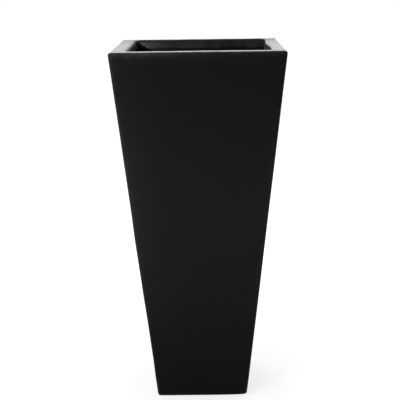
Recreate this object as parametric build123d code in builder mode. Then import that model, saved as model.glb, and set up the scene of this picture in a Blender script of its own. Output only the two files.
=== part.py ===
from build123d import *
from math import asin, atan2, cos, degrees, hypot, pi, sin, tan
import os

# A tall, square, tapered planter cast in glass-fibre reinforced concrete.
# Millimetres, +Z up. The origin is the middle of the footprint, on the ground, and the front is at -Y.

os.makedirs("parts", exist_ok=True)

# Overall sizes of the casting, between flat faces carried on to sharp edges
height = 713
top_width = 330
base_width = 183

# Lip, walls and floor
lip_width = 30
lip_depth = 18
undercut_height = 16
wall = 12
floor_thickness = 14

# Foot band and the recess inside it
foot_width = 24
recess_depth = 5
recess_slope = 20
recess_corner_radius = 10

# Radii of the casting
outer_corner_radius = 6
rim_radius = 5
foot_radius = 4
inner_corner_radius = 12
lip_inner_radius = 6
lip_edge_radius = 3
undercut_radius = 20
cove_radius = 9

# Drain hole
drain_diameter = 25
drain_chamfer = 1.5

# Drain plug: a ribbed stem, a flange that rests on the floor, and a knob to pull it by
plug_clearance = 0.3
core_diameter = 20
stem_reach = 1.5
rib_count = 3
flange_diameter = 44
flange_thickness = 4
flange_chamfer = 1.2
neck_diameter = 10
neck_height = 6
knob_diameter = 18
knob_height = 7
knob_chamfer = 1.8

# Glass-fibre mesh pressed into the inside, as sheets on the flats and tapes round the corners
mesh_thickness = 1
tape_bond = 0.5
mesh_lip_margin = 3
mesh_cove_margin = 3
mesh_drain_margin = 3

# Slope of the walls, and the levels that the sizes above give
draft = atan2((top_width - base_width) / 2, height)
draft_degrees = degrees(draft)
floor_top = recess_depth + floor_thickness
lip_bottom = height - lip_depth
undercut_bottom = lip_bottom - undercut_height


def outer_half(level):
    """Half the width between the outer faces at a level above the ground."""
    return base_width / 2 + level * tan(draft)


def inner_half(level):
    """Half the width between the inner wall faces at a level above the ground."""
    return outer_half(level) - wall


def ring(part, level):
    """The level edges of a part that lie at one height, from the nearest to the axis to the farthest."""
    level_edges = part.edges().filter_by(Plane.XY)
    return level_edges.filter_by_position(Axis.Z, level - 0.01, level + 0.01).sort_by(SortBy.DISTANCE)


def upright_outline(side, right_half):
    """A symmetrical outline on an upright plane, from the points of its right half."""
    with BuildSketch(side) as outline:
        with BuildLine():
            Polyline(*right_half)
            mirror(about=Plane.YZ)
        make_face()
    return outline.sketch


# The cavity: floor, drafted walls, the undercut that narrows them, and the mouth inside the lip
cavity_half = [
    (0, floor_top),
    (inner_half(floor_top), floor_top),
    (inner_half(undercut_bottom), undercut_bottom),
    (outer_half(lip_bottom) - lip_width, lip_bottom),
    (outer_half(height) - lip_width, height),
    (0, height),
]

with BuildPart() as cavity:
    extrude(upright_outline(Plane.XZ, cavity_half), amount=top_width, both=True)
    extrude(upright_outline(Plane.YZ, cavity_half), amount=top_width, both=True, mode=Mode.INTERSECT)
    fillet(ring(cavity, undercut_bottom), undercut_radius)
    fillet(ring(cavity, lip_bottom), lip_edge_radius)
    fillet(cavity.edges().filter_by(Plane.XY, reverse=True), inner_corner_radius)
    fillet(cavity.faces().sort_by(Axis.Z)[0].edges(), cove_radius)


# The casting: a drafted block, rounded, with the cavity, the recess and the drain taken out of it
outside_half = [(0, 0), (base_width / 2, 0), (top_width / 2, height), (0, height)]
recess_width = base_width - 2 * foot_width

with BuildPart() as planter_shell:
    extrude(upright_outline(Plane.XZ, outside_half), amount=top_width, both=True)
    extrude(upright_outline(Plane.YZ, outside_half), amount=top_width, both=True, mode=Mode.INTERSECT)
    fillet(planter_shell.edges().filter_by(Plane.XY, reverse=True), outer_corner_radius)
    fillet(planter_shell.faces().sort_by(Axis.Z)[-1].edges(), rim_radius)
    fillet(planter_shell.faces().sort_by(Axis.Z)[0].edges(), foot_radius)
    add(cavity.part, mode=Mode.SUBTRACT)
    fillet(planter_shell.faces().sort_by(Axis.Z)[-1].inner_wires()[0].edges(), lip_inner_radius)

    with BuildSketch():
        RectangleRounded(recess_width, recess_width, recess_corner_radius)
    extrude(amount=recess_depth, taper=recess_slope, mode=Mode.SUBTRACT)
    with Locations((0, 0, floor_top)):
        Hole(drain_diameter / 2, depth=floor_thickness)
    chamfer(ring(planter_shell, floor_top)[:1], drain_chamfer)
planter_shell.part.label = "planter_shell"
export_step(planter_shell.part, "parts/planter_shell.step")


# The drain plug, turned about the drain's axis
rib_height = (drain_diameter - core_diameter) / 2 - plug_clearance
stem_bottom = recess_depth - stem_reach
stem_length = floor_top - stem_bottom
rib_pitch = (stem_length - drain_chamfer) / (rib_count + 0.5)
flange_top = floor_top + flange_thickness
knob_bottom = flange_top + neck_height
knob_top = knob_bottom + knob_height
turned_steps = [
    # level of the underside, height, diameter
    (stem_bottom, stem_length, core_diameter),
    (floor_top, flange_thickness, flange_diameter),
    (flange_top, neck_height, neck_diameter),
    (knob_bottom, knob_height, knob_diameter),
]

with BuildPart() as drain_plug:
    with BuildSketch(Plane.XZ):
        for underside, rise, diameter in turned_steps:
            with Locations((0, underside)):
                Rectangle(diameter / 2, rise, align=(Align.MIN, Align.MIN))
        for rib in range(rib_count):
            with Locations((core_diameter / 2, stem_bottom + (rib + 0.5) * rib_pitch)):
                Polygon((0, 0), (rib_height, 0.6 * rib_pitch), (0, 0.6 * rib_pitch), align=None)
    revolve(axis=Axis.Z)
    flange_rim = ring(drain_plug, flange_top).sort_by(SortBy.RADIUS)[-1:]
    chamfer(flange_rim, flange_chamfer)
    knob_underside = ring(drain_plug, knob_bottom).sort_by(SortBy.RADIUS)[-1:]
    chamfer(knob_underside + ring(drain_plug, knob_top), knob_chamfer)
drain_plug.part.label = "drain_plug"
export_step(drain_plug.part, "parts/drain_plug.step")


# The mesh lies on the flats that the corner, cove and undercut fillets leave
wall_angle = pi / 2 + asin(sin(draft) ** 2)
corner_run = inner_corner_radius / tan(wall_angle / 2) * hypot(1, sin(draft))
cove_run = cove_radius / tan((pi / 2 + draft) / 2)
mesh_bottom = floor_top + cove_run * cos(draft) + mesh_cove_margin
undercut_lean = atan2(inner_half(undercut_bottom) - outer_half(lip_bottom) + lip_width, undercut_height)
undercut_run = undercut_radius * tan((undercut_lean + draft) / 2)
mesh_top = undercut_bottom - undercut_run * cos(draft) - mesh_lip_margin
mesh_rise = mesh_top - mesh_bottom

# On the front wall x runs along the wall, y up its slope and z into the planter
front_wall = Plane(
    origin=(0, -inner_half(mesh_bottom), mesh_bottom),
    x_dir=(-1, 0, 0),
    z_dir=(0, cos(draft), sin(draft)),
)
sheet_bottom_half = inner_half(mesh_bottom) - corner_run
sheet_top_half = inner_half(mesh_top) - corner_run
sheet_rise = mesh_rise / cos(draft)

# At the front right corner z runs up the line where the walls meet and x into the planter
front_right_corner = Plane(
    origin=(inner_half(mesh_bottom), -inner_half(mesh_bottom), mesh_bottom),
    x_dir=(-1, 1, 2 * tan(draft)),
    z_dir=(tan(draft), -tan(draft), 1),
)
tape_centre = inner_corner_radius / sin(wall_angle / 2)
tape_radius = inner_corner_radius - tape_bond
tape_sweep = 180 - degrees(wall_angle)
tape_start = 180 - tape_sweep / 2
tape_length = mesh_rise * hypot(1, tan(draft), tan(draft))

for turn, wall_side, corner_side in [
    (0, "front", "front_right"),
    (90, "right", "back_right"),
    (180, "back", "back_left"),
    (270, "left", "front_left"),
]:
    with BuildPart() as fibre_mesh:
        with BuildSketch(Plane(Rotation(0, 0, turn) * front_wall.location)):
            Polygon(
                (-sheet_bottom_half, 0),
                (sheet_bottom_half, 0),
                (sheet_top_half, sheet_rise),
                (-sheet_top_half, sheet_rise),
                align=None,
            )
        extrude(amount=mesh_thickness)
    fibre_mesh.part.label = f"fibre_mesh_{wall_side}"
    export_step(fibre_mesh.part, f"parts/fibre_mesh_{wall_side}.step")

    with BuildPart() as corner_tape:
        with BuildSketch(Plane(Rotation(0, 0, turn) * front_right_corner.location)):
            with BuildLine():
                wall_side_arc = CenterArc((tape_centre, 0), tape_radius, tape_start, tape_sweep)
                open_side_arc = CenterArc(
                    (tape_centre, 0), tape_radius - mesh_thickness, tape_start, tape_sweep
                )
                Line(wall_side_arc @ 0, open_side_arc @ 0)
                Line(wall_side_arc @ 1, open_side_arc @ 1)
            make_face()
        extrude(amount=tape_length)
    corner_tape.part.label = f"corner_tape_{corner_side}"
    export_step(corner_tape.part, f"parts/corner_tape_{corner_side}.step")

floor_mesh_width = 2 * (inner_half(floor_top) - cove_run - mesh_cove_margin)
with BuildPart() as fibre_mesh_floor:
    with BuildSketch(Plane.XY.offset(floor_top)):
        RectangleRounded(floor_mesh_width, floor_mesh_width, inner_corner_radius)
        Circle(flange_diameter / 2 + mesh_drain_margin, mode=Mode.SUBTRACT)
    extrude(amount=mesh_thickness)
fibre_mesh_floor.part.label = "fibre_mesh_floor"
export_step(fibre_mesh_floor.part, "parts/fibre_mesh_floor.step")
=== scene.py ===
from collections import namedtuple
from math import asin, atan2, cos, hypot, pi, radians, sin, tan

import bpy
import numpy as np
from mathutils import Matrix, Vector, noise


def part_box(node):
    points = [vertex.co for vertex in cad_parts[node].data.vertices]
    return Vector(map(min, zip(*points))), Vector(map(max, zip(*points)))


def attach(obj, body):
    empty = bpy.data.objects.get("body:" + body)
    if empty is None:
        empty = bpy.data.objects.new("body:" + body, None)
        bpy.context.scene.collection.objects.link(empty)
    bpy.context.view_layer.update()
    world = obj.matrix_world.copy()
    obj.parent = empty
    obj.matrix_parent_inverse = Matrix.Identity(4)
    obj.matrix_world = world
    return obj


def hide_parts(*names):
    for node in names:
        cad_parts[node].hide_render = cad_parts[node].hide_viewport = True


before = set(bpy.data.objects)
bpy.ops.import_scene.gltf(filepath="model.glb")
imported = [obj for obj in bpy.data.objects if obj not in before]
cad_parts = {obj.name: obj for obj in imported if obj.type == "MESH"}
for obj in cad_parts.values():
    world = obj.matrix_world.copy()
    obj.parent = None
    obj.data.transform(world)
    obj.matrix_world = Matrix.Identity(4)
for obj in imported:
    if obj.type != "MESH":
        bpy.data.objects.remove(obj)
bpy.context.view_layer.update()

# A tall, square, tapered planter in charcoal glass-fibre reinforced concrete.
# Metres, +Z up, front at -Y.

# ---------------------------------------------------------------- sizes of the casting
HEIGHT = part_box("planter_shell")[1].z
TOP_WIDTH = 0.330
BASE_WIDTH = 0.183
WALL = 0.012
LIP_WIDTH = 0.030
LIP_DEPTH = 0.018
UNDERCUT_HEIGHT = 0.016
RECESS_DEPTH = 0.005
RECESS_WIDTH = 0.135
RECESS_SLOPE = radians(20)
RECESS_CORNER = 0.010
FLOOR_TOP = 0.019
DRAIN_RADIUS = 0.0125
DRAIN_CHAMFER = 0.0015

RIM_BEND = 0.005
FOOT_BEND = 0.004
OUTER_CORNER = 0.006
INNER_CORNER = 0.012
LIP_EDGE_BEND = 0.003
UNDERCUT_BEND = 0.020
COVE_BEND = 0.009

# The hand finish differs from side to side: the rim falls away outwards, and in front inwards too.
# Its inner edge is rubbed rounder on the left than on the right. The sides of the mouth stand a
# little to the right of true, and the right one swells back in.
RIM_FALL = {"front": 0.0001, "right": 0.0008, "back": 0.0016, "left": 0.0008}
INNER_RIM_FALL = {"front": 0.0005, "right": 0, "back": 0, "left": 0}
INNER_RIM_BEND = {"front": 0.006, "right": 0.0035, "back": 0.0025, "left": 0.009}
MOUTH_RIGHT = 0.0033
MOUTH_LEFT = 0.0026
SWELL = 0.0036
SWELL_MIDDLE = 0.025
SWELL_REACH = 0.056

# The left and right outer faces bow a little: level, then the shift to the right of each of the two
SWAY = [
    (0.000, -0.0011, 0.0006),
    (0.035, -0.0008, 0.0006),
    (0.085, 0.0000, 0.0005),
    (0.155, 0.0000, 0.0005),
    (0.240, -0.0006, 0.0004),
    (0.345, -0.0011, 0.0002),
    (0.415, -0.0002, 0.0000),
    (0.480, 0.0001, 0.0000),
    (0.560, 0.0003, 0.0000),
    (0.665, 0.0003, -0.0003),
    (HEIGHT, 0.0001, -0.0003),
]

# The corners of the foot are knocked rounder up to a level, and so is the rim's back left corner
FOOT_CORNER = 0.009
FOOT_WEAR = 0.040
RIM_KNOCK = 0.007

# The foot's front right corner is chipped: rise of its edge, reach along it and level of its top
CHIP = 0.0022
CHIP_REACH = 0.022
CHIP_HEIGHT = 0.018

# The hand work: depth of each kind of unevenness, size of its bumps, and the seed of its pattern.
# The raw mortar inside is uneven about a level a little proud of the wall.
Unevenness = namedtuple("Unevenness", "depth size seed")
WALL_HOLLOWS = Unevenness(0.00018, 0.160, 3)
RIM_HOLLOWS = Unevenness(0.00040, 0.034, 7)
MORTAR_LUMPS = Unevenness(0.00045, 0.022, 9)
MORTAR_SPECKS = Unevenness(0.00018, 0.007, 11)
MORTAR_RISE = 0.00012

# Where the finish turns, below the top: into raw mortar inside, and from the wall into bare rim
RAW_FROM, RAW_OVER = 0.002, 0.006
RUBBED_FROM, RUBBED_OVER = 0.0036, 0.0024

DRAFT = atan2((TOP_WIDTH - BASE_WIDTH) / 2, HEIGHT)
LIP_BOTTOM = HEIGHT - LIP_DEPTH
UNDERCUT_BOTTOM = LIP_BOTTOM - UNDERCUT_HEIGHT

SIDES = ["front", "right", "back", "left"]

# The middle of the one large air hole in the front face
PINHOLE = (0.1175, -0.127, 0.3443)


def outer_half(level):
    """Half the width between the outer faces at a level."""
    return BASE_WIDTH / 2 + level * tan(DRAFT)


def inner_half(level):
    """Half the width between the inner wall faces at a level."""
    return outer_half(level) - WALL


def mouth_half(level):
    """Half the width of the mouth inside the lip at a level."""
    return outer_half(level) - LIP_WIDTH


# ---------------------------------------------------------------- node helpers
MOTTLE_ROUGHNESS = 0.5


def add_node(tree, kind, inputs=None, **settings):
    """A node with its settings made and its inputs set or joined to other nodes' outputs."""
    made = tree.nodes.new(kind)
    for setting, value in settings.items():
        setattr(made, setting, value)
    for socket, value in (inputs or {}).items():
        if isinstance(value, bpy.types.NodeSocket):
            tree.links.new(value, made.inputs[socket])
        else:
            made.inputs[socket].default_value = value
    return made


def sum_of(tree, operation, first, second=0.0, third=0.0):
    """The result of one arithmetic step on numbers or sockets."""
    inputs = {0: first, 1: second, 2: third}
    return add_node(tree, "ShaderNodeMath", inputs, operation=operation).outputs[0]


def vector_of(tree, operation, inputs, result="Vector"):
    """The result of one step on vectors, with its inputs by socket number."""
    return add_node(tree, "ShaderNodeVectorMath", inputs, operation=operation).outputs[result]


def joined(tree, x=0.0, y=0.0, z=0.0):
    """A vector from its three parts."""
    return add_node(tree, "ShaderNodeCombineXYZ", {0: x, 1: y, 2: z}).outputs[0]


def eased(tree, value, low, high, low_result=0.0, high_result=1.0):
    """A value mapped smoothly from one range to another."""
    inputs = {"Value": value, 1: low, 2: high, 3: low_result, 4: high_result}
    return add_node(tree, "ShaderNodeMapRange", inputs, interpolation_type="SMOOTHSTEP").outputs[0]


class Finish:
    """A material in the making, with the steps that the finishes of this planter share."""

    def __init__(self, name, mottle_roughness=MOTTLE_ROUGHNESS):
        self.mottle_roughness = mottle_roughness
        self.material = bpy.data.materials.new(name)
        self.material.use_nodes = True
        self.tree = self.material.node_tree
        self.shader = self.tree.nodes["Principled BSDF"]
        self.place = add_node(self.tree, "ShaderNodeTexCoord").outputs["Object"]

    def math(self, operation, *values):
        """The result of one arithmetic step."""
        return sum_of(self.tree, operation, *values)

    def times(self, first, *others):
        """Numbers or sockets multiplied together."""
        for other in others:
            first = self.math("MULTIPLY", first, other)
        return first

    def eased(self, *values):
        """A value mapped smoothly from one range to another."""
        return eased(self.tree, *values)

    def faded(self, distance, reach):
        """1 where a distance is nothing, falling away over its reach."""
        return self.math("EXPONENT", self.times(self.math("MAXIMUM", distance, 0.0), -1.0 / reach))

    def mottle(self, scale, detail):
        """Soft mottled noise, with this many patches to the metre."""
        inputs = {"Vector": self.place, "Scale": scale, "Detail": detail}
        inputs["Roughness"] = self.mottle_roughness
        return add_node(self.tree, "ShaderNodeTexNoise", inputs).outputs["Fac"]

    def stored(self, label):
        """A point attribute of the piece."""
        return add_node(self.tree, "ShaderNodeAttribute", attribute_name=label).outputs["Fac"]

    def blend(self, share, first, second):
        """A number between two numbers. Sockets 2 and 3 of the node are its numbers."""
        return add_node(self.tree, "ShaderNodeMix", {0: share, 2: first, 3: second}).outputs[0]

    def mixed(self, share, first, second):
        """A colour between two colours. Sockets 6 and 7 of the node are its colours."""
        inputs = {0: share, 6: first, 7: second}
        return add_node(self.tree, "ShaderNodeMix", inputs, data_type="RGBA").outputs[2]

    def drive(self, socket, value):
        """Join a pattern to one of the shader's sockets."""
        self.tree.links.new(value, self.shader.inputs[socket])

    def bump(self, height, strength, distance):
        """Let a pattern stand out of the surface."""
        inputs = {"Strength": strength, "Distance": distance, "Height": height}
        self.drive("Normal", add_node(self.tree, "ShaderNodeBump", inputs).outputs[0])


# ---------------------------------------------------------------- the casting's surface
Turn = namedtuple("Turn", "half level bend corner round_after bend_rows run_rows finish")
# half, level: where the wall's section turns. bend: radius of the turn. corner: corner radii of the
# loop before and after it. round_after: 1 where the loop is a circle. run_rows: rows up to the next
# turn. finish: 1 inside the casting and 0 outside it, then 1 where the turn moves with the mouth.
OUTSIDE = (0, 0)
INSIDE = (1, 0)
LIP = (1, 1)

SIDE_POINTS = 80
CORNER_POINTS = 9

# How far the points of a round loop spread out from the square's corners
SPREAD = 0.15

# Edges of the casting sharper than this are shaded as edges
SHARP_ANGLE = radians(35)


def square_loop():
    """Anchor and outward direction of each point round the planter, from the front left corner."""
    anchors, outward = [], []
    for quarter in range(4):
        turn = np.array([[cos(quarter * pi / 2), -sin(quarter * pi / 2)],
                         [sin(quarter * pi / 2), cos(quarter * pi / 2)]])
        for along in np.linspace(-1, 1, SIDE_POINTS):
            anchors.append(turn @ (along, -1))
            outward.append(turn @ (0, -1))
        for step in range(1, CORNER_POINTS + 1):
            lean = pi / 2 * step / (CORNER_POINTS + 1)
            anchors.append(turn @ (1, -1))
            outward.append(turn @ (sin(lean), -cos(lean)))
    return np.array(anchors), np.array(outward)


def side_shares(outward):
    """How much each loop point belongs to each of the four sides, which blend at the corners."""
    facing = {"front": (0, -1), "right": (1, 0), "back": (0, 1), "left": (-1, 0)}
    return {side: np.clip(outward @ np.array(facing[side]), 0, None) ** 2 for side in SIDES}


def section_turns(shares, knocked):
    """The turns of the wall's section, from the drain out under the foot and over the rim."""
    rim_bend = sum(shares[side] * INNER_RIM_BEND[side] for side in SIDES)
    rim_fall = sum(shares[side] * RIM_FALL[side] for side in SIDES)
    inner_fall = sum(shares[side] * INNER_RIM_FALL[side] for side in SIDES)
    recess_half = RECESS_WIDTH / 2 - RECESS_DEPTH * tan(RECESS_SLOPE)
    recess_corner = RECESS_CORNER - RECESS_DEPTH * tan(RECESS_SLOPE)
    rim_corner = OUTER_CORNER + RIM_KNOCK * knocked
    bore = (DRAIN_RADIUS, DRAIN_RADIUS)
    recess = (recess_corner, recess_corner)
    foot = (FOOT_CORNER - FOOT_BEND, FOOT_CORNER)
    outer = (OUTER_CORNER, OUTER_CORNER)
    rim = (rim_corner, rim_corner - RIM_BEND)
    mouth = (INNER_CORNER + rim_bend, INNER_CORNER)
    inner = (INNER_CORNER, INNER_CORNER)
    cove = (INNER_CORNER, INNER_CORNER - COVE_BEND)
    return [
        # Drain, recess and foot
        Turn(DRAIN_RADIUS, RECESS_DEPTH, 0, bore, 1, 1, 8, INSIDE),
        Turn(recess_half, RECESS_DEPTH, 0, recess, 0, 1, 1, INSIDE),
        Turn(RECESS_WIDTH / 2, 0, 0, (RECESS_CORNER, RECESS_CORNER), 0, 1, 4, INSIDE),
        Turn(BASE_WIDTH / 2, 0, FOOT_BEND, foot, 0, 6, 5, OUTSIDE),
        # Outer wall, rim and lip
        Turn(outer_half(FOOT_WEAR), FOOT_WEAR, 0, outer, 0, 1, 79, OUTSIDE),
        Turn(TOP_WIDTH / 2, HEIGHT - rim_fall, RIM_BEND, rim, 0, 9, 8, OUTSIDE),
        Turn(mouth_half(HEIGHT), HEIGHT - inner_fall, rim_bend, mouth, 0, 9, 4, LIP),
        Turn(mouth_half(LIP_BOTTOM), LIP_BOTTOM, LIP_EDGE_BEND, inner, 0, 4, 4, LIP),
        # Inner wall, floor and the drain's chamfer
        Turn(inner_half(UNDERCUT_BOTTOM), UNDERCUT_BOTTOM, UNDERCUT_BEND, inner, 0, 8, 64, INSIDE),
        Turn(inner_half(FLOOR_TOP), FLOOR_TOP, COVE_BEND, cove, 0, 7, 12, INSIDE),
        Turn(DRAIN_RADIUS + DRAIN_CHAMFER, FLOOR_TOP, 0, bore, 1, 1, 1, INSIDE),
        Turn(DRAIN_RADIUS, FLOOR_TOP - DRAIN_CHAMFER, 0, bore, 1, 1, 4, INSIDE),
    ]


def section_rows(turns, points):
    """Half width, level, corner radius, roundness and finish of every row, for every loop point."""
    bends = []
    for here, before, after in zip(turns, turns[-1:] + turns[:-1], turns[1:] + turns[:1]):
        place = np.array(np.broadcast_arrays(here.half, here.level, np.zeros(points))[:2])
        last = np.array(np.broadcast_arrays(before.half, before.level, np.zeros(points))[:2])
        following = np.array(np.broadcast_arrays(after.half, after.level, np.zeros(points))[:2])
        way_in = (place - last) / np.hypot(*(place - last))
        way_out = (following - place) / np.hypot(*(following - place))
        angle = np.arccos(np.clip((way_in * way_out).sum(0), -1, 1))
        across = way_out - (way_in * way_out).sum(0) * way_in
        across = across / np.maximum(np.hypot(*across), 1e-9)
        start = place - way_in * here.bend * np.tan(angle / 2)
        rows = []
        for step in range(here.bend_rows):
            share = step / max(here.bend_rows - 1, 1)
            forward = np.sin(share * angle) * way_in
            bent = start + here.bend * (forward + (1 - np.cos(share * angle)) * across)
            corner = here.corner[0] + share * (here.corner[1] - here.corner[0])
            corner = np.broadcast_to(corner, (points,))
            flat = [np.full(points, value) for value in (here.round_after, *here.finish)]
            rows.append(np.array([*bent, corner, *flat]))
        bends.append(rows)
    rows = []
    for turn, bend, following in zip(turns, bends, bends[1:] + bends[:1]):
        rows.extend(bend)
        for step in range(1, turn.run_rows + 1):
            share = step / (turn.run_rows + 1)
            rows.append(bend[-1] * (1 - share) + following[0] * share)
    return np.array(rows)


def wave(places, kind):
    """Smooth noise from -1 to 1 at each place, for one kind of unevenness."""
    shift = Vector((kind.seed, 2.7 * kind.seed, -1.3 * kind.seed))
    values = [noise.noise(Vector(place) + shift) for place in places.reshape(-1, 3) / kind.size]
    return np.array(values).reshape(places.shape[:-1])


def hand_finish(places, raw, rubbed):
    """Depth of the hand work on the surface: hollows outside and on the rim, mortar inside."""
    outside = -WALL_HOLLOWS.depth * (1 + wave(places, WALL_HOLLOWS))
    trowel = -RIM_HOLLOWS.depth * np.clip(0.5 + 0.8 * wave(places, RIM_HOLLOWS), 0, 1.2)
    lumps = MORTAR_LUMPS.depth * wave(places, MORTAR_LUMPS)
    specks = MORTAR_SPECKS.depth * wave(places, MORTAR_SPECKS)
    mortar = MORTAR_RISE + lumps + specks
    return (outside * (1 - rubbed) + trowel * rubbed) * (1 - raw) + mortar * raw


def off_square(places, inside, mouth):
    """Shift to the right of each place, because the mouth and the outer walls aren't quite true."""
    x, y, z = places[..., 0], places[..., 1], places[..., 2]
    swell = SWELL * np.exp(-(((y - SWELL_MIDDLE) / SWELL_REACH) ** 2))
    lip = np.where(x > 0, MOUTH_RIGHT - swell, MOUTH_LEFT) * mouth
    levels, left, right = np.array(SWAY).T
    step = np.clip(np.searchsorted(levels, z, "right") - 1, 0, len(levels) - 2)
    share = np.clip((z - levels[step]) / (levels[step + 1] - levels[step]), 0, 1)
    share = share * share * (3 - 2 * share)
    bow = [side[step] + (side[step + 1] - side[step]) * share for side in (right, left)]
    wall = np.where(x > 0, *bow) * (1 - inside)
    return (lip + wall) * np.clip(np.abs(x) / mouth_half(z), 0, 1)


def grid_mesh(name, places, attributes):
    """A closed mesh, with its point attributes, from rows of points that join up both ways."""
    rows, points = places.shape[:2]
    index = np.arange(rows * points).reshape(rows, points)
    next_row = np.roll(index, -1, 0)
    quads = np.stack([index, np.roll(index, -1, 1), np.roll(next_row, -1, 1), next_row], -1)
    mesh = bpy.data.meshes.new(name)
    mesh.from_pydata(places.reshape(-1, 3).tolist(), [], quads.reshape(-1, 4).tolist())
    for label, values in attributes.items():
        mesh.attributes.new(label, "FLOAT", "POINT").data.foreach_set("value", values.ravel())
    mesh.shade_smooth()
    mesh.set_sharp_from_angle(angle=SHARP_ANGLE)
    return mesh


def rounded_places(rows, anchors, outward):
    """Where every point of the casting lies before its hand finish."""
    half, level, corner, roundness, inside, mouth = (rows[:, part] for part in range(6))
    square = anchors * (half - corner)[..., None] + outward * corner[..., None]
    facing = (1 - SPREAD) * anchors + SPREAD * outward
    circle = facing / np.hypot(*facing.T)[:, None] * half[..., None]
    plan = square + (circle - square) * roundness[..., None]
    places = np.concatenate([plan, level[..., None]], -1)
    places[..., 0] += off_square(places, inside, mouth)
    from_chip = np.hypot(places[..., 0] - BASE_WIDTH / 2, places[..., 1] + BASE_WIDTH / 2)
    chip = CHIP * np.exp(-from_chip / CHIP_REACH)
    places[..., 2] += chip * np.clip(1 - level / CHIP_HEIGHT, 0, 1)
    return places


def surface_normals(places):
    """The direction that points away from the material at every point."""
    across = np.roll(places, -1, 0) - np.roll(places, 1, 0)
    round_about = np.roll(places, -1, 1) - np.roll(places, 1, 1)
    normals = np.cross(round_about, across)
    return normals / np.linalg.norm(normals, axis=-1, keepdims=True)


def make_planter_body(material):
    """The whole casting, inside and out, as one closed surface with its hand finish."""
    anchors, outward = square_loop()
    back_left = np.clip(-anchors[:, 0], 0, 1) * np.clip(anchors[:, 1], 0, 1)
    rows = section_rows(section_turns(side_shares(outward), back_left), len(anchors))
    places = rounded_places(rows, anchors, outward)
    level, roundness, inside = rows[:, 1], rows[:, 3], rows[:, 4]
    raw = inside * np.clip((HEIGHT - level - RAW_FROM) / RAW_OVER, 0, 1)
    rubbed = np.clip((level - HEIGHT + RUBBED_FROM) / RUBBED_OVER, 0, 1)
    # The foot band and the middle of the floor stay true
    held = np.clip(level / FOOT_BEND, 0, 1) * (1 - np.clip(roundness * 4, 0, 1))
    depth = hand_finish(places, raw, rubbed) * held
    places = places + surface_normals(places) * depth[..., None]
    mesh = grid_mesh("planter_body", places, {"raw": raw, "rubbed": rubbed})
    body = bpy.data.objects.new("planter_body", mesh)
    bpy.context.scene.collection.objects.link(body)
    body.data.materials.append(material)
    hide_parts("planter_shell")
    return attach(body, "planter")


# ---------------------------------------------------------------- the concrete
SEALED_DARK = (0.0082, 0.0074, 0.0062, 1)
SEALED_PALE = (0.0094, 0.0085, 0.0071, 1)
# Pale tone of worn corners, which also stands in for painted light on the left side and below the
# rim
WORN_AND_LIT_PALE = (0.030, 0.029, 0.027, 1)
# Pinkish rim tone: partly the rubbed mortar, partly a painted sheen
RUBBED_RIM_AND_SHEEN = (0.045, 0.039, 0.039, 1)
# Painted shade inside the air hole
PAINTED_PIT_SHADE = (0.0015, 0.0015, 0.0015, 1)
MORTAR_DARK = (0.020, 0.0195, 0.0185, 1)
MORTAR_PALE = (0.042, 0.041, 0.038, 1)
# Painted shadow in the lip's back left corner
PAINTED_CORNER_SHADOW = (0.004, 0.004, 0.004, 1)
# Painted light on the lip's back beside the painted shadow, with a painted glint at its edge
PAINTED_LIP_LIGHT = (0.28, 0.27, 0.25, 1)

# Roughness of each part of the surface, from its smoothest to its roughest, and what the rim gains
# towards the back
SEALED_ROUGH = (0.46, 0.50)
RIM_ROUGH = (0.03, 0.12)
BACK_RIM_ROUGH = 0.16
RAW_ROUGH = 0.85

# The roughness of the concrete's mottling, and the patches to the metre of each kind of it
CONCRETE_MOTTLE_ROUGHNESS = 0.55
CLOUDS = 9.0
PATCHES = 34.0
LIT_BAND_BREAKS = 50.0
RIM_PATCHES = 60.0
BURNISH_PATCHES = 75.0
PORES = 75.0
GRAIN = 900.0

# How far the wear and painted light reach: wide and narrow at the left corners, at the right ones,
# and the band of painted light below the rim
WIDE_WEAR_AND_LIGHT = 0.029
NARROW_WEAR = 0.004
RIGHT_WEAR_AND_LIGHT = 0.005
LIT_BAND_REACH = 0.004

# The painted shadow's edge, where the painted light starts, lies where x is the start less the lean
# for each metre of height; the light and its glint fade over their reaches
SHADOW_EDGE_LEAN = 1.56
SHADOW_EDGE_START = 0.976
PAINTED_LIGHT_REACH = 0.030
PAINTED_GLINT_REACH = 0.004


def worn_and_lit_share(finish, along, patches):
    """Pale wear along the corners, with painted light: more on the left and higher up, and a
    painted lit band below the rim.
    """
    x, y, z = along
    half_width = finish.math("MULTIPLY_ADD", z, tan(DRAFT), BASE_WIDTH / 2)
    nearest = finish.math("MINIMUM", finish.math("ABSOLUTE", x), finish.math("ABSOLUTE", y))
    from_corner = finish.math("SUBTRACT", half_width, nearest)

    faint = finish.eased(z, 0.48, 0.68, 0.45, 0.20)
    wide = finish.times(finish.faded(from_corner, WIDE_WEAR_AND_LIGHT), faint)
    narrow = finish.times(finish.faded(from_corner, NARROW_WEAR), 0.42)
    left_side = finish.math("ADD", narrow, wide)
    left_side = finish.times(left_side, finish.eased(z, 0.05, 0.50, 0.10, 1.0))
    middle_height = finish.times(finish.eased(z, 0.12, 0.30), finish.eased(z, 0.50, 0.62, 1.0, 0.0))
    right_side = finish.times(finish.faded(from_corner, RIGHT_WEAR_AND_LIGHT), middle_height, 0.50)
    corners = finish.blend(finish.eased(x, -0.05, 0.05), left_side, right_side)

    # The band of painted light is strongest at its left, and broken by the mottle
    below_rim = finish.math("SUBTRACT", HEIGHT - RIM_BEND - 0.001, z)
    strength = finish.eased(x, -0.10, 0.02, 0.85, 0.28)
    band = finish.times(finish.faded(below_rim, LIT_BAND_REACH), strength)
    band = finish.times(band, finish.eased(finish.mottle(LIT_BAND_BREAKS, 4.0), 0.36, 0.64, 0.6, 1.25))
    worn_and_lit = finish.math("ADD", corners, band)
    worn_and_lit = finish.times(worn_and_lit, finish.eased(patches, 0.0, 1.0, 0.8, 1.1))
    return finish.math("MINIMUM", worn_and_lit, 1.0)


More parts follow.
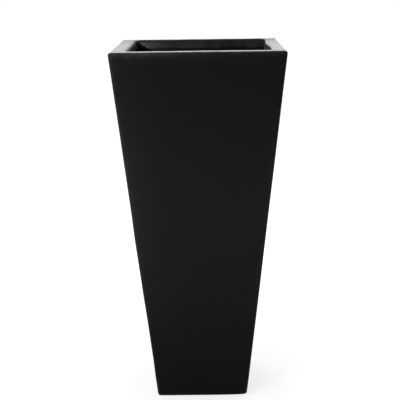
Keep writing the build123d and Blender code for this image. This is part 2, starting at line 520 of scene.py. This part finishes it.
def mortar_colour(finish, along, patches):
    """Dusty mortar, with a painted shadow in the lip's back left corner and painted light down the
    lip's back.
    """
    x, y, z = along
    from_shadow_edge = finish.math("ADD", x, finish.math("MULTIPLY_ADD", z, SHADOW_EDGE_LEAN, -SHADOW_EDGE_START))
    on_lip = finish.eased(z, 0.670, 0.690)
    at_back = finish.eased(y, 0.09, 0.12)
    # Painted light beside the shadow's edge, wide, with a painted glint right at the edge
    wide = finish.times(finish.faded(from_shadow_edge, PAINTED_LIGHT_REACH), 0.6)
    narrow = finish.times(finish.faded(from_shadow_edge, PAINTED_GLINT_REACH), 1.1)
    painted_light = finish.eased(from_shadow_edge, -0.002, 0.002)
    painted_light = finish.times(painted_light, finish.math("ADD", wide, narrow), on_lip, at_back)
    # Painted shadow in the back left corner of the lip, below the shadow's edge
    painted_shadow = finish.times(on_lip, finish.eased(from_shadow_edge, -0.004, 0.004, 1.0, 0.0), 0.8)
    dusty = finish.mixed(patches, MORTAR_DARK, MORTAR_PALE)
    return finish.mixed(painted_light, finish.mixed(painted_shadow, dusty, PAINTED_CORNER_SHADOW), PAINTED_LIP_LIGHT)


def concrete_material():
    """Charcoal concrete: sealed outside, pale at its corners from wear and painted light, burnished
    on the rim, raw inside.
    """
    finish = Finish("charcoal_concrete", CONCRETE_MOTTLE_ROUGHNESS)
    along = add_node(finish.tree, "ShaderNodeSeparateXYZ", {0: finish.place}).outputs
    y, z = along[1], along[2]
    raw, rubbed = finish.stored("raw"), finish.stored("rubbed")
    clouds = finish.eased(finish.mottle(CLOUDS, 4.0), 0.30, 0.70)
    patches = finish.eased(finish.mottle(PATCHES, 4.0), 0.38, 0.66)

    # Painted shade: the sealed colour is darker towards the foot and towards the top, brightest at
    # mid-height
    painted_foot_shade = finish.eased(z, -0.02, 0.36, 0.33, 1.02)
    painted_top_shade = finish.eased(z, 0.36, 0.74, 1.0, 0.43)
    sealed = finish.mixed(clouds, SEALED_DARK, SEALED_PALE)
    sealed = vector_of(finish.tree, "SCALE", {0: sealed, 3: finish.times(painted_foot_shade, painted_top_shade)})
    # Wear and painted light: the corners and the band below the rim are paler
    sealed = finish.mixed(worn_and_lit_share(finish, along, patches), sealed, WORN_AND_LIT_PALE)
    # The rim is paler and pinkish, partly its rubbed mortar and partly a painted sheen
    sealed = finish.mixed(finish.times(rubbed, 0.7), sealed, RUBBED_RIM_AND_SHEEN)
    # The air hole: a dent in the bump, and painted shade darkening its colour
    from_pinhole = vector_of(finish.tree, "DISTANCE", {0: finish.place, 1: PINHOLE}, "Value")
    pinhole = finish.eased(from_pinhole, 0.0010, 0.0052, 1.0, 0.0)
    sealed = finish.mixed(finish.times(pinhole, 0.8), sealed, PAINTED_PIT_SHADE)
    finish.drive("Base Color", finish.mixed(raw, sealed, mortar_colour(finish, along, patches)))

    rim_rough = finish.eased(finish.mottle(RIM_PATCHES, 4.0), 0.36, 0.66, *RIM_ROUGH)
    rim_rough = finish.math("ADD", rim_rough, finish.eased(y, 0.0, 0.16, 0.0, BACK_RIM_ROUGH))
    sealed_rough = finish.eased(clouds, 0.0, 1.0, *SEALED_ROUGH)
    outer_rough = finish.blend(rubbed, sealed_rough, rim_rough)
    finish.drive("Roughness", finish.blend(raw, outer_rough, RAW_ROUGH))
    finish.shader.inputs["Specular IOR Level"].default_value = 0.06

    # The burnished rim carries a thin sealer coat, less of it at the back
    burnish = finish.eased(finish.mottle(BURNISH_PATCHES, 3.0), 0.35, 0.65, 0.04, 0.42)
    burnish = finish.times(burnish, finish.eased(y, -0.06, 0.12, 1.0, 0.3))
    bare_rim = finish.times(rubbed, finish.math("SUBTRACT", 1.0, raw))
    finish.drive("Coat Weight", finish.times(bare_rim, burnish))
    finish.shader.inputs["Coat Roughness"].default_value = 0.08

    # Pores and grain, faint outside and strong in the raw mortar, and the air hole
    pores = add_node(finish.tree, "ShaderNodeTexVoronoi", {"Vector": finish.place, "Scale": PORES})
    pores = finish.eased(pores.outputs["Distance"], 0.02, 0.09)
    height = finish.math("MULTIPLY_ADD", finish.mottle(GRAIN, 2.0), 0.25, pores)
    height = finish.math("MULTIPLY_ADD", pinhole, -2.5, height)
    finish.bump(height, finish.eased(raw, 0.0, 1.0, 0.12, 0.6), 0.0004)
    return finish.material


# ---------------------------------------------------------------- the fibre mesh
MESH_THICKNESS = 0.001
TAPE_BOND = 0.0005
MESH_MARGIN = 0.003
MESH_PITCH = 0.0085
TAPE_PITCH = 0.0043
YARN_WIDTH = 0.0016
YARN_THICKNESS = 0.0005
YARN_DIP = 0.00018
# How far the yarns wander, as a share of their pitch, and the wanders to the metre
YARN_WANDER = 0.25
WANDERS = 22.0
# The net on the floor goes round the plug's flange
FLANGE_RADIUS = 0.022


def socket_in(tree, label, kind):
    """A named input of a node group."""
    return tree.interface.new_socket(label, in_out="INPUT", socket_type="NodeSocket" + kind)


def net_cut(tree, given, x, y):
    """1 where a yarn lies outside the net's tapered outline or inside its hole."""
    share = sum_of(tree, "DIVIDE", y, given["Height"])
    spread = sum_of(tree, "SUBTRACT", given["Top width"], given["Foot width"])
    width_here = sum_of(tree, "MULTIPLY_ADD", spread, share, given["Foot width"])
    half_here = sum_of(tree, "MULTIPLY", width_here, 0.5)
    too_wide = sum_of(tree, "GREATER_THAN", sum_of(tree, "ABSOLUTE", x), half_here)
    too_high = sum_of(tree, "GREATER_THAN", y, sum_of(tree, "ADD", given["Height"], 0.00001))
    from_middle = sum_of(tree, "MULTIPLY_ADD", given["Height"], -0.5, y)
    from_hole = vector_of(tree, "LENGTH", {0: joined(tree, x, from_middle)}, "Value")
    in_hole = sum_of(tree, "LESS_THAN", from_hole, given["Hole radius"])
    return sum_of(tree, "MAXIMUM", sum_of(tree, "MAXIMUM", too_wide, too_high), in_hole)


def yarn_dip(tree, given, x, y):
    """Rise of the upright yarns, and dip of the level ones, where they pass over each other."""
    turn = sum_of(tree, "DIVIDE", pi, given["Pitch"])
    wave_x = sum_of(tree, "COSINE", sum_of(tree, "MULTIPLY", x, turn))
    wave_y = sum_of(tree, "COSINE", sum_of(tree, "MULTIPLY", y, turn))
    return sum_of(tree, "MULTIPLY", sum_of(tree, "MULTIPLY", wave_x, wave_y), given["Dip"])


def yarn_drift(tree, given):
    """Small shift of each place of a yarn within the net's plane."""
    inputs = {"W": given["Seed"], "Scale": WANDERS, "Detail": 2.0}
    drift = add_node(tree, "ShaderNodeTexNoise", inputs, noise_dimensions="4D").outputs["Color"]
    drift = vector_of(tree, "SUBTRACT", {0: drift, 1: (0.5, 0.5, 0.5)})
    drift = vector_of(tree, "SCALE", {0: drift, 3: given["Wander"]})
    return vector_of(tree, "MULTIPLY", {0: drift, 1: (1, 1, 0)})


def woven_net_tree():
    """Flat open net of crossing yarns that dip over and under each other, cut to a tapered outline.

    x runs across the net from its middle, y up from its foot and z off its face."""
    tree = bpy.data.node_groups.new("woven_net", "GeometryNodeTree")
    for label in ("Foot width", "Top width", "Height", "Pitch", "Yarn width", "Yarn thickness",
                  "Dip", "Wander", "Hole radius"):
        socket_in(tree, label, "Float")
    socket_in(tree, "Seed", "Int")
    socket_in(tree, "Yarn", "Material")
    tree.interface.new_socket("Net", in_out="OUTPUT", socket_type="NodeSocketGeometry")
    given = add_node(tree, "NodeGroupInput").outputs

    def line(count, start, step):
        inputs = {"Count": count, "Start Location": start, "Offset": step}
        return add_node(tree, "GeometryNodeMeshLine", inputs, mode="OFFSET").outputs[0]

    # One upright and one level yarn, with two points to the pitch, and the points to lay them from
    pitch = given["Pitch"]
    half_pitch = sum_of(tree, "MULTIPLY", pitch, 0.5)
    half_top = sum_of(tree, "MULTIPLY", given["Top width"], 0.5)
    across = sum_of(tree, "CEIL", sum_of(tree, "DIVIDE", half_top, pitch))
    upward = sum_of(tree, "CEIL", sum_of(tree, "DIVIDE", given["Height"], pitch))
    left = sum_of(tree, "MULTIPLY", sum_of(tree, "MULTIPLY", across, pitch), -1.0)
    upright_points = sum_of(tree, "MULTIPLY_ADD", upward, 2.0, 1.0)
    level_points = sum_of(tree, "MULTIPLY_ADD", across, 4.0, 1.0)
    upright_count = sum_of(tree, "MULTIPLY_ADD", across, 2.0, 1.0)
    level_count = sum_of(tree, "ADD", upward, 1.0)
    upright = line(upright_points, joined(tree), joined(tree, 0.0, half_pitch))
    uprights = line(upright_count, joined(tree, left), joined(tree, pitch))
    level = line(level_points, joined(tree, left), joined(tree, half_pitch))
    levels = line(level_count, joined(tree), joined(tree, 0.0, pitch))

    at = add_node(tree, "GeometryNodeInputPosition").outputs[0]
    x, y = add_node(tree, "ShaderNodeSeparateXYZ", {0: at}).outputs[:2]
    cut = net_cut(tree, given, x, y)
    dip = yarn_dip(tree, given, x, y)
    drift = yarn_drift(tree, given)

    inputs = {"Resolution": 6, "Radius": 0.5}
    outline = add_node(tree, "GeometryNodeCurvePrimitiveCircle", inputs).outputs[0]
    size = joined(tree, given["Yarn width"], given["Yarn thickness"], 1.0)
    inputs = {"Geometry": outline, "Scale": size}
    outline = add_node(tree, "GeometryNodeTransform", inputs).outputs[0]

    def yarns(places, single, side):
        inputs = {"Points": places, "Instance": single}
        laid = add_node(tree, "GeometryNodeInstanceOnPoints", inputs).outputs[0]
        laid = add_node(tree, "GeometryNodeRealizeInstances", {0: laid}).outputs[0]
        inputs = {"Geometry": laid, "Selection": cut}
        laid = add_node(tree, "GeometryNodeDeleteGeometry", inputs).outputs[0]
        lift = joined(tree, 0.0, 0.0, sum_of(tree, "MULTIPLY", dip, side))
        inputs = {"Geometry": laid, "Offset": vector_of(tree, "ADD", {0: drift, 1: lift})}
        laid = add_node(tree, "GeometryNodeSetPosition", inputs).outputs[0]
        path = add_node(tree, "GeometryNodeMeshToCurve", {0: laid}).outputs[0]
        path = add_node(tree, "GeometryNodeSetCurveNormal", {"Curve": path}, mode="Z_UP").outputs[0]
        inputs = {"Curve": path, "Profile Curve": outline, "Fill Caps": True}
        return add_node(tree, "GeometryNodeCurveToMesh", inputs).outputs[0]

    net = add_node(tree, "GeometryNodeJoinGeometry")
    tree.links.new(yarns(uprights, upright, 1.0), net.inputs[0])
    tree.links.new(yarns(levels, level, -1.0), net.inputs[0])
    whole = add_node(tree, "GeometryNodeRealizeInstances", {0: net.outputs[0]}).outputs[0]
    inputs = {"Geometry": whole, "Material": given["Yarn"]}
    painted = add_node(tree, "GeometryNodeSetMaterial", inputs).outputs[0]
    add_node(tree, "NodeGroupOutput", {"Net": painted})
    return tree


def grown_mesh(name, tree, values):
    """The plain mesh that a node group gives for a value of each of its named inputs."""
    holder = bpy.data.objects.new(name, bpy.data.meshes.new(name))
    bpy.context.scene.collection.objects.link(holder)
    growth = holder.modifiers.new(name, "NODES")
    growth.node_group = tree
    for item in tree.interface.items_tree:
        if item.in_out == "INPUT":
            growth[item.identifier] = values[item.name]
    evaluated = holder.evaluated_get(bpy.context.evaluated_depsgraph_get())
    mesh = bpy.data.meshes.new_from_object(evaluated)
    mesh.name = name
    bpy.data.objects.remove(holder)
    return mesh


def flat_net(name, tree, material, foot_width, top_width, height, pitch, seed, hole_radius=0.0):
    """A flat net, trimmed to its outline, with yarns sized to its pitch."""
    return grown_mesh(name, tree, {
        "Foot width": foot_width, "Top width": top_width, "Height": height, "Pitch": pitch,
        "Yarn width": YARN_WIDTH, "Yarn thickness": YARN_THICKNESS, "Dip": YARN_DIP,
        "Wander": YARN_WANDER * pitch, "Hole radius": hole_radius, "Seed": seed, "Yarn": material})


def lay_net(mesh, node):
    """A net's mesh put in the scene in the place of its CAD node."""
    net = bpy.data.objects.new("woven_" + node, mesh)
    bpy.context.scene.collection.objects.link(net)
    mesh.shade_smooth()
    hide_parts(node)
    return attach(net, "planter")


def plane_from(origin, x_axis, z_axis):
    """The matrix that takes flat work to a plane, from its origin, x direction and normal."""
    z = Vector(z_axis).normalized()
    x = Vector(x_axis).normalized()
    axes = Matrix((x, z.cross(x), z)).transposed().to_4x4()
    return Matrix.Translation(origin) @ axes


def make_fibre_mesh(material):
    """The nets on the four walls and the floor, and the tapes that go round the inner corners."""
    tree = woven_net_tree()
    # The nets lie on the flats that the bends of the corners, the cove and the undercut leave
    wall_angle = pi / 2 + asin(sin(DRAFT) ** 2)
    corner_run = INNER_CORNER / tan(wall_angle / 2) * hypot(1, sin(DRAFT))
    cove_run = COVE_BEND / tan((pi / 2 + DRAFT) / 2)
    undercut_lean = atan2(inner_half(UNDERCUT_BOTTOM) - mouth_half(LIP_BOTTOM), UNDERCUT_HEIGHT)
    undercut_run = UNDERCUT_BEND * tan((undercut_lean + DRAFT) / 2)
    foot = FLOOR_TOP + cove_run * cos(DRAFT) + MESH_MARGIN
    head = UNDERCUT_BOTTOM - undercut_run * cos(DRAFT) - MESH_MARGIN
    rise = head - foot
    wall = plane_from((0, -inner_half(foot), foot), (-1, 0, 0), (0, cos(DRAFT), sin(DRAFT)))
    corner = plane_from((inner_half(foot), -inner_half(foot), foot),
                        (-1, 1, 2 * tan(DRAFT)), (tan(DRAFT), -tan(DRAFT), 1))
    foot_width = 2 * (inner_half(foot) - corner_run)
    head_width = 2 * (inner_half(head) - corner_run)
    centre = INNER_CORNER / sin(wall_angle / 2)
    radius = INNER_CORNER - TAPE_BOND - MESH_THICKNESS / 2
    tape_width = (pi - wall_angle) * radius
    tape_length = rise * hypot(1, tan(DRAFT), tan(DRAFT))
    corners = ["front_right", "back_right", "back_left", "front_left"]
    for quarter, (side, between) in enumerate(zip(SIDES, corners)):
        turn = Matrix.Rotation(quarter * pi / 2, 4, "Z")
        sheet = flat_net("net_" + side, tree, material, foot_width, head_width, rise / cos(DRAFT),
                         MESH_PITCH, quarter)
        sheet.transform(turn @ wall @ Matrix.Translation((0, 0, MESH_THICKNESS / 2)))
        lay_net(sheet, "fibre_mesh_" + side)
        tape = flat_net("tape_" + between, tree, material, tape_width, tape_width, tape_length,
                        TAPE_PITCH, quarter + len(SIDES))
        # The tape is woven flat, then bent round the corner
        for vertex in tape.vertices:
            across, along, off = vertex.co
            angle = pi - across / radius
            reach = radius - off
            vertex.co = (centre + reach * cos(angle), reach * sin(angle), along)
        tape.transform(turn @ corner)
        lay_net(tape, "corner_tape_" + between)
    floor_width = 2 * (inner_half(FLOOR_TOP) - cove_run - MESH_MARGIN)
    floor_net = flat_net("net_floor", tree, material, floor_width, floor_width, floor_width,
                         MESH_PITCH, 2 * len(SIDES), FLANGE_RADIUS + MESH_MARGIN)
    floor_net.transform(Matrix.Translation((0, -floor_width / 2, FLOOR_TOP + MESH_THICKNESS / 2)))
    lay_net(floor_net, "fibre_mesh_floor")


CLEAN_YARN = (0.14, 0.135, 0.12, 1)
DUSTY_YARN = (0.045, 0.043, 0.04, 1)
YARN_DUST = 45.0
FILAMENTS = 2500.0


def fibre_material():
    """Dusty glass yarn, grey with the mortar that it was pressed into."""
    finish = Finish("dusty_glass_yarn")
    dust = finish.mottle(YARN_DUST, 5.0)
    dusted = finish.eased(dust, 0.35, 0.65)
    finish.drive("Base Color", finish.mixed(dusted, CLEAN_YARN, DUSTY_YARN))
    finish.drive("Roughness", finish.eased(dust, 0.3, 0.7, 0.55, 0.9))
    finish.bump(finish.mottle(FILAMENTS, 2.0), 0.5, 0.0002)
    finish.shader.inputs["Specular IOR Level"].default_value = 0.3
    return finish.material


# ---------------------------------------------------------------- the drain plug
PLUG_STEPS = 96
CORE_RADIUS = 0.010
STEM_BOTTOM = 0.0035
FLANGE_THICKNESS = 0.004
NECK_RADIUS = 0.005
NECK_HEIGHT = 0.006
KNOB_RADIUS = 0.009
KNOB_HEIGHT = 0.007
PLUG_CLEARANCE = 0.0003
STEM_HOLLOW = 0.0008
KNOB_DISH = 0.0006

# The mould's seam: how proud it stands, and how far from the axis it starts
SEAM_HEIGHT = 0.00018
SEAM_START = 0.4 * CORE_RADIUS

RIB_COUNT = 3

# The length of a rib as a share of its pitch, and of its slanted underside as a share of that
RIB_LENGTH = 0.6
RIB_SLANT = 0.85

# How far the ribs are sunk into the stem
RIB_ROOT = 0.0002

RUBBER_BLACK = (0.011, 0.011, 0.011, 1)
RUBBER_BLOOM = (0.030, 0.029, 0.027, 1)
BLOOM_PATCHES = 140.0
RUBBER_GRAIN = 3500.0

# An outline's turn: how far from the axis, how high, and the radius of its rounding
Bend = namedtuple("Bend", "radius level bend")


def rounded_outline(bends, bend_points=5):
    """Points along the outline of a turned piece, with its corners rounded."""
    points = [Vector((bends[0].radius, bends[0].level))]
    for before, here, after in zip(bends, bends[1:], bends[2:]):
        place = Vector((here.radius, here.level))
        way_in = (place - Vector((before.radius, before.level))).normalized()
        way_out = (Vector((after.radius, after.level)) - place).normalized()
        angle = way_in.angle(way_out)
        across = (way_out - way_in.dot(way_out) * way_in).normalized()
        start = place - way_in * here.bend * tan(angle / 2)
        for step in range(bend_points if here.bend else 1):
            turned = angle * step / (bend_points - 1)
            points.append(start + here.bend * (sin(turned) * way_in + (1 - cos(turned)) * across))
    return [*points, Vector((bends[-1].radius, bends[-1].level))]


def turned_mesh(name, outline):
    """A closed piece turned about the drain's axis, with the mould's seam up its two sides."""
    places = []
    for radius, level in outline[1:-1]:
        for step in range(PLUG_STEPS):
            angle = 2 * pi * step / PLUG_STEPS
            on_seam = step % (PLUG_STEPS // 2) == 0 and radius > SEAM_START
            reach = radius + (SEAM_HEIGHT if on_seam else 0)
            places.append((reach * cos(angle), reach * sin(angle), level))
    count = len(outline) - 2
    foot, head = len(places), len(places) + 1
    places += [(0, 0, outline[0][1]), (0, 0, outline[-1][1])]
    faces = []
    for step in range(PLUG_STEPS):
        following = (step + 1) % PLUG_STEPS
        last = (count - 1) * PLUG_STEPS
        faces.append((foot, following, step))
        faces.append((head, last + step, last + following))
        for row in range(count - 1):
            low, high = row * PLUG_STEPS, (row + 1) * PLUG_STEPS
            faces.append((low + step, low + following, high + following, high + step))
    mesh = bpy.data.meshes.new(name)
    mesh.from_pydata(places, [], faces)
    mesh.shade_smooth()
    mesh.set_sharp_from_angle(angle=radians(50))
    return mesh


def stem_ribs_tree():
    """Rings with a slanted underside and a sharp upper lip, one above the other round a stem."""
    tree = bpy.data.node_groups.new("stem_ribs", "GeometryNodeTree")
    socket_in(tree, "Count", "Int")
    for label in ("First level", "Pitch", "Stem radius", "Rib height", "Rib length"):
        socket_in(tree, label, "Float")
    socket_in(tree, "Steps", "Int")
    socket_in(tree, "Rubber", "Material")
    tree.interface.new_socket("Ribs", in_out="OUTPUT", socket_type="NodeSocketGeometry")
    given = add_node(tree, "NodeGroupInput").outputs

    inputs = {"Resolution": given["Steps"], "Radius": given["Stem radius"]}
    stem = add_node(tree, "GeometryNodeCurvePrimitiveCircle", inputs).outputs[0]
    stem = add_node(tree, "GeometryNodeSetCurveNormal", {"Curve": stem}, mode="Z_UP").outputs[0]
    # Round this circle, a profile's x points outwards and its y downwards
    top = sum_of(tree, "MULTIPLY", given["Rib length"], -1.0)
    lip = sum_of(tree, "MULTIPLY", given["Rib length"], -RIB_SLANT)
    corners = [joined(tree), joined(tree, 0.0, top),
               joined(tree, given["Rib height"], top), joined(tree, given["Rib height"], lip)]
    inputs = {f"Point {number}": corner for number, corner in enumerate(corners, 1)}
    kind = "GeometryNodeCurvePrimitiveQuadrilateral"
    profile = add_node(tree, kind, inputs, mode="POINTS").outputs[0]
    inputs = {"Curve": stem, "Profile Curve": profile}
    ring = add_node(tree, "GeometryNodeCurveToMesh", inputs).outputs[0]
    first, pitch = (joined(tree, 0.0, 0.0, given[label]) for label in ("First level", "Pitch"))
    inputs = {"Count": given["Count"], "Start Location": first, "Offset": pitch}
    places = add_node(tree, "GeometryNodeMeshLine", inputs, mode="OFFSET").outputs[0]
    inputs = {"Points": places, "Instance": ring}
    rings = add_node(tree, "GeometryNodeInstanceOnPoints", inputs).outputs[0]
    rings = add_node(tree, "GeometryNodeRealizeInstances", {0: rings}).outputs[0]
    inputs = {"Geometry": rings, "Material": given["Rubber"]}
    painted = add_node(tree, "GeometryNodeSetMaterial", inputs).outputs[0]
    add_node(tree, "NodeGroupOutput", {"Ribs": painted})
    return tree


def rubber_material():
    """Matt black moulded rubber with a faint dusty bloom."""
    finish = Finish("moulded_rubber")
    bloom = finish.mottle(BLOOM_PATCHES, 4.0)
    bloomed = finish.eased(bloom, 0.4, 0.7)
    finish.drive("Base Color", finish.mixed(bloomed, RUBBER_BLACK, RUBBER_BLOOM))
    finish.drive("Roughness", finish.eased(bloom, 0.3, 0.7, 0.5, 0.75))
    finish.bump(finish.mottle(RUBBER_GRAIN, 2.0), 0.35, 0.0001)
    finish.shader.inputs["Specular IOR Level"].default_value = 0.35
    return finish.material


def make_drain_plug(material):
    """The plug's stem, flange, neck and knob as one turned piece, and the ribs round its stem."""
    flange_top = FLOOR_TOP + FLANGE_THICKNESS
    knob_bottom = flange_top + NECK_HEIGHT
    knob_top = knob_bottom + KNOB_HEIGHT
    outline = rounded_outline([
        # Stem, hollow underneath
        Bend(0, STEM_BOTTOM + STEM_HOLLOW, 0),
        Bend(CORE_RADIUS * 0.55, STEM_BOTTOM + STEM_HOLLOW, 0.0006),
        Bend(CORE_RADIUS * 0.65, STEM_BOTTOM, 0.0006),
        Bend(CORE_RADIUS, STEM_BOTTOM, 0.0010),
        Bend(CORE_RADIUS, FLOOR_TOP, 0),
        # Flange, which slopes up to the neck
        Bend(FLANGE_RADIUS, FLOOR_TOP, 0.0006),
        Bend(FLANGE_RADIUS - 0.0002, flange_top - 0.0006, 0.0012),
        Bend(NECK_RADIUS * 1.5, flange_top, 0.0010),
        # Neck
        Bend(NECK_RADIUS, flange_top + 0.0012, 0.0012),
        Bend(NECK_RADIUS, knob_bottom + 0.0004, 0.0012),
        # Knob, dished on top
        Bend(KNOB_RADIUS, knob_bottom + 0.0004, 0.0022),
        Bend(KNOB_RADIUS, knob_top, 0.0024),
        Bend(KNOB_RADIUS * 0.45, knob_top, 0.0008),
        Bend(KNOB_RADIUS * 0.35, knob_top - KNOB_DISH, 0.0006),
        Bend(0, knob_top - KNOB_DISH, 0),
    ])
    plug = bpy.data.objects.new("rubber_plug", turned_mesh("rubber_plug", outline))
    plug.data.materials.append(material)
    rib_pitch = (FLOOR_TOP - STEM_BOTTOM - DRAIN_CHAMFER) / (RIB_COUNT + 0.5)
    ribs = grown_mesh("plug_ribs", stem_ribs_tree(), {
        "Count": RIB_COUNT, "First level": STEM_BOTTOM + 0.5 * rib_pitch, "Pitch": rib_pitch,
        "Stem radius": CORE_RADIUS - RIB_ROOT,
        "Rib height": DRAIN_RADIUS - PLUG_CLEARANCE - CORE_RADIUS + RIB_ROOT,
        "Rib length": RIB_LENGTH * rib_pitch, "Steps": PLUG_STEPS, "Rubber": material})
    ribs = bpy.data.objects.new("plug_ribs", ribs)
    for piece in (plug, ribs):
        bpy.context.scene.collection.objects.link(piece)
        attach(piece, "plug")
    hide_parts("drain_plug")


# ---------------------------------------------------------------- studio
CAMERA_PLACE = (0.01871, -1.86782, 0.86100)
CAMERA_PITCH = radians(14.010)
CAMERA_TURN = radians(0.605)
CAMERA_ROLL = radians(0.755)
LENS = 83.918
SENSOR_WIDTH = 36

# Half the floor's width, its paint, and its glow near the planter and far from it
FLOOR_REACH = 8.0
FLOOR_PAINT = (0.4, 0.4, 0.4, 1)
NEAR, FAR = 0.1, 0.9
NEAR_GLOW, FAR_GLOW = 0.72, 1.0

# The surroundings: white to the eye, and a weaker fill light on the planter
BACKDROP = (1, 1, 1, 1)
FILL = 0.35

# Soft lights: name, place, where it points, width, height and power
SOFTBOXES = [
    ("key_light", (-1.25, -1.45, 0.75), (0, 0, 0.40), 1.0, 1.0, 21),
    ("top_left_light", (-1.30, -0.30, 1.50), (0, 0, 0.50), 0.8, 0.8, 4),
    ("back_light", (-0.30, 1.30, 1.80), (0, 0, 0.30), 1.2, 0.9, 12),
    ("back_right_light", (1.15, 1.15, 0.42), (0, 0, 0.38), 1.0, 0.5, 15),
]


def make_camera():
    """The camera at the photograph's viewing angle."""
    camera = bpy.data.objects.new("camera", bpy.data.cameras.new("camera"))
    bpy.context.scene.collection.objects.link(camera)
    camera.data.lens = LENS
    camera.data.sensor_width = SENSOR_WIDTH
    camera.matrix_world = (
        Matrix.Translation(CAMERA_PLACE)
        @ Matrix.Rotation(CAMERA_TURN, 4, "Z")
        @ Matrix.Rotation(pi / 2 - CAMERA_PITCH, 4, "X")
        @ Matrix.Rotation(-CAMERA_ROLL, 4, "Z")
    )
    bpy.context.scene.camera = camera


def seen_rays(tree):
    """1 for rays that come straight from the eye, a gloss or a clear piece, and 0 for others."""
    paths = add_node(tree, "ShaderNodeLightPath").outputs
    seen = sum_of(tree, "MAXIMUM", paths["Is Camera Ray"], paths["Is Glossy Ray"])
    return sum_of(tree, "MAXIMUM", seen, paths["Is Transmission Ray"])


def make_floor():
    """A plain white floor that keeps the planter's soft shadow."""
    mesh = bpy.data.meshes.new("floor")
    signs = [(-1, -1), (1, -1), (1, 1), (-1, 1)]
    mesh.from_pydata([(FLOOR_REACH * x, FLOOR_REACH * y, 0) for x, y in signs], [], [(0, 1, 2, 3)])
    floor = bpy.data.objects.new("floor", mesh)
    bpy.context.scene.collection.objects.link(floor)
    material = bpy.data.materials.new("white_floor")
    material.use_nodes = True
    tree = material.node_tree
    tree.nodes.remove(tree.nodes["Principled BSDF"])
    paint = add_node(tree, "ShaderNodeBsdfDiffuse", {"Color": FLOOR_PAINT}).outputs[0]
    place = add_node(tree, "ShaderNodeTexCoord").outputs["Object"]
    distance = vector_of(tree, "LENGTH", {0: place}, "Value")
    brightness = eased(tree, distance, NEAR, FAR, NEAR_GLOW, FAR_GLOW)
    brightness = sum_of(tree, "MULTIPLY", brightness, seen_rays(tree))
    glow = add_node(tree, "ShaderNodeEmission", {"Strength": brightness}).outputs[0]
    both = add_node(tree, "ShaderNodeAddShader", {0: paint, 1: glow}).outputs[0]
    tree.links.new(both, tree.nodes["Material Output"].inputs["Surface"])
    mesh.materials.append(material)


def make_world():
    """White behind the planter, and a weaker even fill light on it."""
    world = bpy.data.worlds.new("studio")
    bpy.context.scene.world = world
    world.use_nodes = True
    tree = world.node_tree
    strength = eased(tree, seen_rays(tree), 0, 1, FILL, 1.0)
    tree.links.new(strength, tree.nodes["Background"].inputs["Strength"])
    tree.nodes["Background"].inputs["Color"].default_value = BACKDROP


def make_softbox(name, place, target, width, height, power):
    """A rectangular soft light turned towards a point."""
    light = bpy.data.lights.new(name, "AREA")
    light.shape = "RECTANGLE"
    light.size, light.size_y, light.energy = width, height, power
    softbox = bpy.data.objects.new(name, light)
    bpy.context.scene.collection.objects.link(softbox)
    softbox.visible_camera = False
    softbox.location = place
    softbox.rotation_euler = (Vector(target) - Vector(place)).to_track_quat("-Z", "Y").to_euler()


def make_studio():
    """The camera, the white surroundings and the soft lights."""
    make_camera()
    make_floor()
    make_world()
    for softbox in SOFTBOXES:
        make_softbox(*softbox)


# ---------------------------------------------------------------- making it all
bpy.context.scene.view_settings.view_transform = "Standard"
make_studio()
make_planter_body(concrete_material())
make_fibre_mesh(fibre_material())
make_drain_plug(rubber_material())
